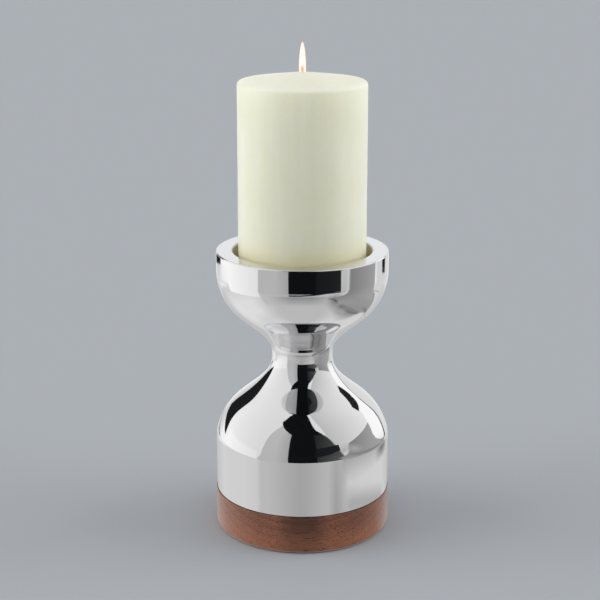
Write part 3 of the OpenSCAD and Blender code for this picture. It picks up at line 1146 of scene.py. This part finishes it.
@dataclass
class PillarCandle:
    """The candle: a moulded pillar with a low peak, its braided wick and the tin at its foot."""

    wax_finish: Finish = CandleWax()
    wick_finish: Finish = WickCotton()
    tin_finish: Finish = PlatedSteel(name="stamped_tinplate", colour="#D2D3D2", patch="#BDBDBA")
    foot_z: float = 148.0
    foot_r: float = 38.1
    foot_round: float = 1.0
    shoulder_r: float = 37.75
    shoulder_z: float = 272.5
    shoulder_round: float = 2.7
    shoulder_step: float = 4.0
    peak_z: float = 278.0
    wick_hole_r: float = 1.35
    fit: float = 0.05
    tin_r: float = 10.0
    tin_t: float = 0.5
    collar_r: float = 2.2
    collar_h: float = 4.0
    tin_edge_round: float = 0.15
    # The wax shrinks a little unevenly as it sets, more and more between these radii
    wobble: float = 0.1
    wobble_r: Pair = (11.0, 21.0)
    # Waves of it: how many round the candle, share, phase, and drift as height to a radian
    waves: tuple[tuple[float, float, float, float], ...] = (
        (2, 0.5, 1.1, 41.0), (3, 0.3, -0.4, -23.0), (5, 0.175, 2.0, 13.0))
    wick_top_z: float = 283.0
    strands: int = 3
    strand_r: float = 0.5
    # The higher this power, the shorter the rounding of a strand's ends
    strand_end: int = 400
    braid_width: float = 0.72
    braid_depth: float = 0.34
    braid_turn: float = 5.5
    rows_per_turn: int = 22
    strand_sides: int = 12

    def wax_outline(self) -> np.ndarray:
        """Outline of the wax: wick hole, seat of the tin, foot, drafted side, shoulder and peak.

        Returns:
            An array of radius and height.
        """
        draft = math.atan((self.foot_r - self.shoulder_r) / (self.shoulder_z - self.foot_z))
        slope = math.atan((self.peak_z - self.shoulder_z) / self.shoulder_r)
        side = np.array([math.cos(draft), math.sin(draft)])
        top = np.array([math.sin(slope), math.cos(slope)])
        inward = self.shoulder_round * (side + top) / (1 + side @ top)
        centre = np.array([self.shoulder_r, self.shoulder_z]) - inward
        foot, seat_r, sleeve_r = self.foot_round, self.tin_r + self.fit, self.collar_r + self.fit
        seat_z = self.foot_z + self.tin_t + self.fit
        sleeve_z = seat_z + self.collar_h
        return contour(
            (self.wick_hole_r, sleeve_z),
            (sleeve_r, sleeve_z),
            (sleeve_r, seat_z),
            (seat_r, seat_z),
            (seat_r, self.foot_z),
            arc((self.foot_r - foot, self.foot_z + foot), foot, -90, 0),
            arc(centre, self.shoulder_round, math.degrees(draft), 90 - math.degrees(slope),
                self.shoulder_step),
            (self.wick_hole_r, self.peak_z - self.wick_hole_r * math.tan(slope)),
            loop=True,
        )

    def wax_grid(self) -> np.ndarray:
        """Turned wax whose radius wavers by a tenth of a millimetre.

        The waver is a sum of sines of the angle, each drifting round with the height.

        Returns:
            A grid of points, outline by angle.
        """
        grid = turned(self.wax_outline(), FINE_TURN)
        x, y, height = np.moveaxis(grid, -1, 0)
        radius, angle = np.hypot(x, y), np.arctan2(y, x)
        waver = sum(share * np.sin(count * angle + phase + height / drift)
                    for count, share, phase, drift in self.waves)
        calm, free = self.wobble_r
        grown = np.clip((radius - calm) / (free - calm), 0, 1)
        grid[..., :2] *= (1 + self.wobble * grown * waver / radius)[..., None]
        return grid

    def strand_grids(self) -> list[np.ndarray]:
        """Strands of the flat braid, each an even share of a turn behind the last.

        A strand goes side to side once a turn and front to back twice, as sines of its phase.

        Returns:
            A grid of points for each strand.
        """
        turns = (self.wick_top_z - self.foot_z) / self.braid_turn
        share = np.linspace(0.0, 1.0, round(turns * self.rows_per_turn))
        thin = np.sqrt(np.clip(1 - np.abs(2 * share - 1) ** self.strand_end, 0, 1))
        height = self.foot_z + share * (self.wick_top_z - self.foot_z)
        grids = []
        for strand in range(self.strands):
            phase = 2 * np.pi * (share * turns + strand / self.strands)
            aside, ahead = self.braid_width * np.sin(phase), self.braid_depth * np.sin(2 * phase)
            path = np.stack([aside, ahead, height], axis=-1)
            grids.append(tube(path, self.strand_r * thin, self.strand_sides))
        return grids

    def tin_outline(self) -> np.ndarray:
        """Outline of the tin: a disc with a collar, its edges rounded by the press.

        Returns:
            An array of radius and height.
        """
        edge, disc_z = self.tin_edge_round, self.foot_z + self.tin_t
        collar_z = disc_z + self.collar_h
        inner, outer, low = self.wick_hole_r + edge, self.tin_r - edge, self.foot_z + edge
        return contour(
            arc((inner, low), edge, 180, 270, EDGE_STEP),
            arc((outer, low), edge, -90, 0, EDGE_STEP),
            arc((outer, disc_z - edge), edge, 0, 90, EDGE_STEP),
            (self.collar_r, disc_z),
            arc((self.collar_r - edge, collar_z - edge), edge, 0, 90, EDGE_STEP),
            arc((inner, collar_z - edge), edge, 90, 180, EDGE_STEP),
            loop=True,
        )

    def build(self) -> None:
        """Make the wax, wick and tin, and dress them."""
        wax = skin("pillar_wax", self.wax_grid())
        dress(wax, self.wax_finish, Body.CANDLE, Slot.WAX, "candle_wax")
        wick = skin("braided_wick", *self.strand_grids())
        dress(wick, self.wick_finish, Body.CANDLE, Slot.WICK_COTTON, "wick")
        tin = skin("wick_tin", turned(self.tin_outline(), SMALL_TURN))
        dress(tin, self.tin_finish, Body.CANDLE, Slot.TINPLATE, "wick_sustainer")


@dataclass
class Flame:
    """The flame: a slim white core in a thin orange veil, standing on the peak of the wax."""

    core_finish: Finish = FlameGas()
    veil_finish: Finish = FlameGas(name="flame_veil", foot="#FFB26B", tip="#FFC48A", glow=1.0,
                                   opacity=0.16, clear=0.0)
    foot_z: float = 277.2
    tip_z: float = 295.6
    half_width: float = 2.35
    core_width: float = 0.84
    core_top: float = 0.95
    rows: int = 48
    sides: int = 48
    # Rows of points crowd a little towards the tip
    crowding: float = 0.9
    # The outline is a power of a sine from this share of half a turn, so that the foot is blunt
    start: float = 0.42
    fullness: float = 0.52

    def outline(self, width: float, height: float) -> np.ndarray:
        """Outline of a teardrop: the width times a power of a sine that starts blunt.

        Args:
            width: Largest radius.
            height: Height of the tip above the foot.

        Returns:
            An array of radius and height, from the axis at the foot to the axis at the tip.
        """
        share = np.linspace(0.0, 1.0, self.rows) ** self.crowding
        run = np.pi * (self.start + (1 - self.start) * share)
        radius = width * np.sin(run).clip(0) ** self.fullness
        radius[-1] = 0.0
        rise = np.stack([radius, self.foot_z + height * share], axis=-1)
        return np.vstack([[0.0, self.foot_z], rise])

    def build(self) -> None:
        """Make the veil and the core, and dress them."""
        height = self.tip_z - self.foot_z
        for name, finish, width, top in (
            ("flame_veil", self.veil_finish, 1.0, 1.0),
            ("flame_core", self.core_finish, self.core_width, self.core_top),
        ):
            outline = self.outline(self.half_width * width, height * top)
            dress(skin(name, turned(outline, self.sides)), finish, Body.CANDLE, None)


class Rays(Enum):
    """Which rays see a stage object, as the kinds of ray that don't."""

    ALL_BUT_MIRRORS = ("glossy",)
    MIRRORS_ONLY = ("camera", "diffuse", "transmission", "volume_scatter", "shadow")

    def hide(self, thing: bpy.types.Object) -> None:
        """Switch off, on a stage object, the rays that this choice leaves out."""
        for kind in self.value:
            setattr(thing, "visible_" + kind, False)


def direction(azimuth: Numbers, elevation: Numbers) -> np.ndarray:
    """Unit vectors: azimuth 0 is towards the camera and grows to the right.

    With the azimuth a and the elevation e, a vector is (sin a cos e, -cos a cos e, sin e).

    Args:
        azimuth: Angles round the object, in radians.
        elevation: Angles above the horizon, in radians.

    Returns:
        A vector for each pair of angles.
    """
    level = np.cos(elevation)
    parts = [np.sin(azimuth) * level, -np.cos(azimuth) * level, np.sin(elevation)]
    return np.stack(parts, axis=-1)


@dataclass(frozen=True)
class Flat:
    """A studio flat that only mirrors see: a patch of a sphere round the object.

    The patch lies between rows. A row is its two ends, and each end is an azimuth and an elevation
    in degrees. Tones are one for all, or one each for the first and the last row, or four for the
    two ends of both. Soft gives the shares over which the flat fades in from its edges: along and
    across the rows, or at the start and the end of each. The distance is in metres.
    """

    name: str
    tones: tuple[str, ...]
    rows: tuple[Row, ...]
    soft: tuple[float, ...] = (0.0, 0.0)
    distance: float = 4.0
    steps: int = 48

    def directions(self, along: np.ndarray, across: np.ndarray) -> np.ndarray:
        """Mix the rows' ends by the share across the rows, then by the share along them.

        Args:
            along: Share along a row at each point.
            across: Share across the rows at each point.

        Returns:
            A unit vector for each point.
        """
        ends = np.radians(np.array(self.rows))
        place = np.linspace(0.0, 1.0, len(ends))
        first, last = (
            [np.interp(across, place, ends[:, end, part]) for part in (0, 1)] for end in (0, 1)
        )
        return direction(*(a + along * (b - a) for a, b in zip(first, last)))

    def colours(self, along: np.ndarray, across: np.ndarray) -> np.ndarray:
        """Mix the corners' tones by the shares, and fade the alpha in from each soft edge.

        Args:
            along: Share along a row at each point.
            across: Share across the rows at each point.

        Returns:
            A colour with alpha for each point.
        """
        count = len(self.tones)
        corners = np.array([linear(tone) for tone in self.tones])
        corners = corners.reshape(min(count, 2), max(count // 2, 1), 4)
        (low, low_end), (high, high_end) = np.broadcast_to(corners, (2, 2, 4))
        u, v = along[..., None], across[..., None]
        mixed = (1 - v) * (low + u * (low_end - low)) + v * (high + u * (high_end - high))
        fades = self.soft if len(self.soft) == 4 else np.repeat(self.soft, 2)
        for share, fade in zip((along, 1 - along, across, 1 - across), fades):
            if fade:
                mixed[..., 3] *= np.clip(share / fade, 0, 1)
        return mixed

    def paint(self, add: AddNode) -> bpy.types.Node:
        """Add a plain glow of the tone held in the mesh, let through where it fades.

        Args:
            add: Adds a node to the material.

        Returns:
            The shader.
        """
        tone = add("Attribute", {"attribute_name": "tone"}).outputs
        glow = add("Emission", {"Strength": MIRROR_GLOW}, {"Color": tone["Color"]})
        return add("MixShader", links={0: tone["Alpha"], 1: add("BsdfTransparent"), 2: glow})

    def build(self, centre: Triple) -> None:
        """Make the patch and let only mirrors see it.

        Args:
            centre: Middle of the sphere, in metres.
        """
        even = np.linspace(0, 1, self.steps + 1)
        share = np.unique(np.concatenate([even, np.linspace(0, 1, len(self.rows))]))
        along, across = np.meshgrid(even, share)
        points = np.array(centre) + self.distance * self.directions(along, across).reshape(-1, 3)
        index = np.arange(points.shape[0]).reshape(along.shape)
        corners = [index[:-1, :-1], index[:-1, 1:], index[1:, 1:], index[1:, :-1]]
        faces = np.stack(corners, axis=-1).reshape(-1, 4)
        mesh = bpy.data.meshes.new(self.name)
        mesh.from_pydata(points.tolist(), [], faces.tolist())
        tone = mesh.color_attributes.new("tone", "FLOAT_COLOR", "POINT")
        tone.data.foreach_set("color", self.colours(along, across).ravel())
        mesh.materials.append(make_material(self.name, self.paint))
        made = show(self.name, mesh)
        Rays.MIRRORS_ONLY.hide(made)


def strip(*rows: Triple) -> tuple[Row, ...]:
    """Rows of a flat, each level at an elevation between a left and a right azimuth."""
    return tuple(((left, level), (right, level)) for level, left, right in rows)


def columns(*rows: Triple) -> tuple[Row, ...]:
    """Rows of a flat, each upright at an azimuth between a low and a high elevation."""
    return tuple(((azimuth, low), (azimuth, high)) for azimuth, low, high in rows)


def patch(left: float, right: float, low: float, high: float) -> tuple[Row, ...]:
    """Rows of a flat with level and upright edges."""
    return strip((low, left, right), (high, left, right))


# Left and right are as the camera sees them, and the back is behind the object
FLATS = (
    Flat("ground", ("#D5D5D5",), patch(-180, 180, -89, -14), distance=4.4),
    Flat("ground_back", ("#B6B6B6",), patch(130, 230, -45, -14), (0.35, 0.3), 4.35),
    Flat("ground_left", ("#E4E4E4",), patch(-150, -44, -62, -25), (0.2, 0.3), 4.3),
    Flat("ground_middle", ("#BFBFBF", "#BEBEBE"), patch(-84, 84, -88, -14),
         (0.28, 0.28, 0.0, 0.2), 4.25),
    Flat("ground_screen", ("#BFBFBF",), patch(-62, 66, -46, -20), (0.04, 0.16, 0.3, 0.1), 4.22),
    Flat("ground_front", ("#B6B6B6", "#8C8C8C"), patch(-50, 50, -46, -26),
         (0.35, 0.35, 0.25, 0.0), 4.2),
    Flat("ground_near", ("#A8A8A8",), patch(-46, 42, -26, -14), (0.45, 0.0), 4.19),
    Flat("left_panel", ("#DFDFDF",), patch(-126, -54, -18, 84), (0.02, 0.04), 4.05),
    Flat("left_glow", ("#FFFFFF", "#DCDCDC"), patch(-178, -62, -18, 84), (0.5, 0.04), 4.02),
    Flat("left_skirt", ("#FFFFFF", "#E6E6E6"),
         columns((-112, -20.5, 2), (-98, -22, 2), (-84, -23.5, 2), (-70, -24.5, 2), (-57, -25, 2)),
         (0.12, 0.02), 0.42),
    Flat("left_low", ("#EAEAEA",), patch(-156, -116, -22, -17.5), (0.3, 0.3, 0.5, 0.0), 4.0),
    Flat("left_mark", ("#1C1D1E",), patch(-165, -139, -13.85, -12.6), distance=3.8),
    Flat("back_left_side", ("#CECECE",), patch(-170, -134, -18, 46), (0.4, 0.06), 3.95),
    Flat("left_screen", ("#B8B8B8", "#BEBEBE"),
         strip((-21.5, -62, -12), (-9, -58.5, -12), (3, -55.2, -12), (14, -54.4, -12),
               (26, -53, -12), (41, -51.5, -12), (52, -48, -12), (62, -44.5, -12)), distance=3.9),
    Flat("left_screen_fold", ("#A2A2A2",), patch(-36, 4, -21.5, 50), (0.5, 0.03), 3.88),
    Flat("left_post", ("#1C1D1E",),
         (((-153, 0.5), (-123.5, -4)), ((-153.5, 5), (-125, 4)), ((-153.5, 12), (-127, 11)),
          ((-153.5, 22), (-130, 20)), ((-153.5, 32), (-133.5, 32))), distance=3.8),
    Flat("dark_front", ("#101112",), patch(-18.3, 19, -18.5, 45), distance=3.6),
    Flat("dark_top", ("#101112",),
         strip((44, -16, 35), (54, -36, 26), (64, -53.5, 25), (74, -52, 27), (84, -35, 26)),
         distance=3.5),
    Flat("dark_screen", ("#303132", "#626262", "#1C1D1E", "#1C1D1E"),
         strip((-19, 17, 59), (-6, 17, 58), (9, 17, 54), (24, 17, 46), (39, 17, 39), (54, 17, 26)),
         (0.0, 0.08, 0.0, 0.0), 3.7),
    Flat("near_board", ("#121314", "#222324"),
         columns((-16.2, -9.1, -5.7), (-2.2, -8.6, -5.7), (13.9, -6.9, -3.7), (17.6, -6.2, 7.8),
                 (25.8, -4.9, 7.8), (33.3, -3.5, 7.8), (38.4, -2.1, 7.8), (42.5, -1.4, 7.8))
         + (((46.5, -0.7), (45.9, 7)),), distance=0.235),
    Flat("right_side", ("#BEBEBE",), patch(38, 122, -19, 84), (0.02, 0.04), 4.1),
    Flat("right_glow", ("#FAFAFA", "#D8D8D8"), patch(38, 206, -19, 84), (0.5, 0.04), 4.08),
    Flat("right_side_low", ("#D4D4D4",), patch(112, 170, -19, -9), (0.1, 0.2, 0.0, 0.3), 4.05),
    Flat("right_panel", ("#FFFFFF",),
         (((109.5, -1), (141.5, -9)), ((111, 6.5), (140, 4)), ((115, 20), (141, 18)),
          ((123, 28), (146, 24)), ((128, 38), (146, 38))), (0.02, 0.02), 4.0),
    Flat("back_right_side", ("#DCDCDC",),
         strip((-14, 140, 174), (5, 141, 174), (18, 145, 174), (40, 145, 174)), (0.0, 0.05), 3.95),
    Flat("right_fin", ("#202122",), (((122.3, 31), (137, 27)), ((123, 37.5), (132, 37))),
         distance=3.9),
    Flat("right_post", ("#2A2B2C", "#909090"),
         strip((-14.2, 138.5, 143), (-8, 138.4, 142.6), (4, 138.6, 141.8), (13, 139.6, 142.4),
               (21, 142, 145)), (0.1, 0.03), 3.9),
    Flat("right_edge", ("#ACACAC", "#CACACA"),
         strip((-5.7, 46, 52.5), (-0.7, 46, 55.5), (7.3, 46, 56.5)), (0.1, 0.12), 0.233),
    Flat("right_mark", ("#1C1D1E",), patch(131.5, 142, -14.25, -13), distance=3.85),
    Flat("right_fold", ("#868686",),
         columns((49, -24, -15), (62, -33, -22.5), (85, -35, -28), (110, -35, -29.5)),
         (0.6, 0.06, 0.25, 0.3), 0.145),
    Flat("right_hem", ("#ACACAC",), patch(54, 140, -25.4, -24.1), (0.15, 0.1, 0.0, 0.6), 4.1),
    Flat("right_screen", ("#8C8C8C", "#A8A8A8", "#7C7C7C", "#A2A2A2"),
         (((47, -21.5), (124, -28)), ((41.5, -18.5), (114, -20)), ((40, -17.3), (111, -16)),
          ((49.5, -13.5), (105, -11.5)), ((54.6, -8), (102, -5)), ((57, 1.5), (104, 3)),
          ((58.5, 5), (106, 8.5))), (0.07, 0.02, 0.14, 0.02), 0.25),
    Flat("right_light", ("#A6A6A6",),
         (((42, -27), (44, -13)), ((50, -29.5), (51.5, -14)), ((58, -31), (58, -17)),
          ((66.5, -32), (65, -21))), (0.45, 0.4), 0.105),
    Flat("right_low", ("#9C9C9C", "#949494"),
         strip((-33.4, 46, 138), (-22, 44.5, 125), (-14, 44.5, 109)), (0.06, 0.06, 0.25, 0.15),
         0.252),
    Flat("right_smudge", ("#787878",), patch(102, 142, -33.4, -29.5), (0.4, 0.5), 0.248),
    Flat("right_ground", ("#8C8C8C", "#848484", "#9C9C9C", "#8E8E8E"),
         (((36, -31.4), (38, -30)), ((47, -33), (47, -28.5)), ((53, -36.5), (56, -26.5)),
          ((65.1, -42.6), (66, -26)), ((75.9, -45.5), (78, -26)), ((88.3, -47.4), (90, -26)),
          ((100.2, -47.6), (101, -26)), ((113.8, -46.5), (113, -26)), ((128.8, -43.1), (124, -27)),
          ((143.7, -37.5), (136, -33))), distance=4.15),
    Flat("right_dusk", ("#787878",),
         columns((34, -46, -17), (44, -50, -17), (53, -55, -19), (65, -61, -25), (76, -64, -28),
                 (88, -66, -30), (100, -66, -30), (114, -62, -31), (129, -54, -32)),
         (0.5, 0.5, 0.15, 0.15), 4.17),
    Flat("right_shade", ("#5A5A5A",),
         (((33, -33), (35, -30)), ((43, -34.5), (45, -30.5)), ((51, -40), (54, -34.5)),
          ((64, -46.2), (66, -41)), ((75.9, -49.5), (76, -44)), ((88.3, -51.5), (88.3, -46)),
          ((100.2, -51.5), (100.2, -46.5)), ((113.8, -50), (113.8, -45.5)),
          ((128.8, -46), (128.8, -43))), (0.5, 0.12), 4.12),
    Flat("back_top", ("#2A2B2D",), patch(158, 202, 30, 64), (0.05, 0.1)),
)


@dataclass(frozen=True)
class Lamp:
    """A broad, soft lamp that lights surfaces but makes no spot of its own in mirrors.

    Its place is an azimuth and an elevation in degrees, and it fills an angle of so many degrees.
    """

    name: str
    azimuth: float
    power: float
    elevation: float = 12.0
    spread: float = 60.0

    def build(self) -> None:
        """Hang the lamp so that it shines at the object."""
        light = bpy.data.lights.new(self.name, "SUN")
        light.energy, light.angle = self.power, math.radians(self.spread)
        lamp = bpy.data.objects.new(self.name, light)
        way = Vector(direction(math.radians(self.azimuth), math.radians(self.elevation)))
        lamp.rotation_euler = way.to_track_quat("Z", "Y").to_euler()
        lamp.visible_glossy = False
        bpy.context.scene.collection.objects.link(lamp)


@dataclass
class Studio:
    """The camera, the floor, the lamps, the surroundings and the flats."""

    # Camera fitted to the photograph's ellipses
    lens_mm: float = 87.0
    sensor_mm: float = 36.0
    camera_place: Triple = (-0.0014, -0.835, 0.384)
    camera_pitch: float = 16.2
    # Colour of the floor, and of what the camera sees past it
    ground: str = "#B9BEC4"
    floor_r: float = 40.0
    lamps: tuple[Lamp, ...] = (Lamp("left_lamp", -86, 2.15), Lamp("right_lamp", 92, 1.9))
    fill: str = "#FFFFFF"
    fill_strength: float = 0.53
    surround: str = "#DFE0E1"
    flats_centre: Triple = (0.0, 0.0, 0.11)

    def add_camera(self) -> None:
        """Set the camera at the photograph's viewing angle."""
        lens = bpy.data.cameras.new("camera")
        lens.lens, lens.sensor_width = self.lens_mm, self.sensor_mm
        lens.clip_end = 2 * self.floor_r
        camera = bpy.data.objects.new("camera", lens)
        camera.location = self.camera_place
        camera.rotation_euler = (math.radians(90 - self.camera_pitch), 0, 0)
        bpy.context.scene.collection.objects.link(camera)
        bpy.context.scene.camera = camera

    def floor_paint(self, add: AddNode) -> bpy.types.Node:
        """Add the floor's plain matt paint and return its shader."""
        return add("BsdfDiffuse", {"Color": linear(self.ground)})

    def add_floor(self) -> None:
        """Lay a wide, plain, pale floor that keeps the shadow; mirrors see the flats instead."""
        mesh = bpy.data.meshes.new("floor")
        points = around(self.floor_r, 0.0, full_turn(SMALL_TURN))
        mesh.from_pydata(points.tolist(), [], [list(range(SMALL_TURN))])
        mesh.materials.append(make_material("floor_paint", self.floor_paint))
        floor = show("floor", mesh)
        Rays.ALL_BUT_MIRRORS.hide(floor)

    def add_surround(self) -> None:
        """Set the world: an even fill for surfaces, a plain backdrop, a pale haze for mirrors."""
        world = bpy.data.worlds.new("surround")
        world.use_nodes = True
        world.node_tree.nodes.clear()
        add = partial(add_node, world.node_tree)
        fill, haze, back = (
            add("Background", {"Color": linear(colour), "Strength": strength})
            for colour, strength in (
                (self.fill, self.fill_strength), (self.surround, MIRROR_GLOW), (self.ground, 1.0))
        )
        rays = add("LightPath").outputs
        bent = add("Math", {"operation": "MAXIMUM"},
                   {0: rays["Is Glossy Ray"], 1: rays["Is Transmission Ray"]})
        mirrored = add("MixShader", links={0: bent, 1: fill, 2: haze})
        seen = add("MixShader", links={0: rays["Is Camera Ray"], 1: mirrored, 2: back})
        add("OutputWorld", links={"Surface": seen})
        bpy.context.scene.world = world

    def build(self) -> None:
        """Put up the whole studio."""
        self.add_camera()
        self.add_floor()
        for lamp in self.lamps:
            lamp.build()
        self.add_surround()
        for flat in FLATS:
            flat.build(self.flats_centre)
        bpy.context.scene.view_settings.view_transform = "Standard"


def main() -> None:
    """Build the studio and every piece in order."""
    logging.basicConfig(level=logging.INFO, format="%(name)s: %(message)s")
    for assembly in (Studio, Castings, WoodenBase, Fasteners, PillarCandle, Flame):
        assembly().build()


if __name__ == "__main__":
    main()
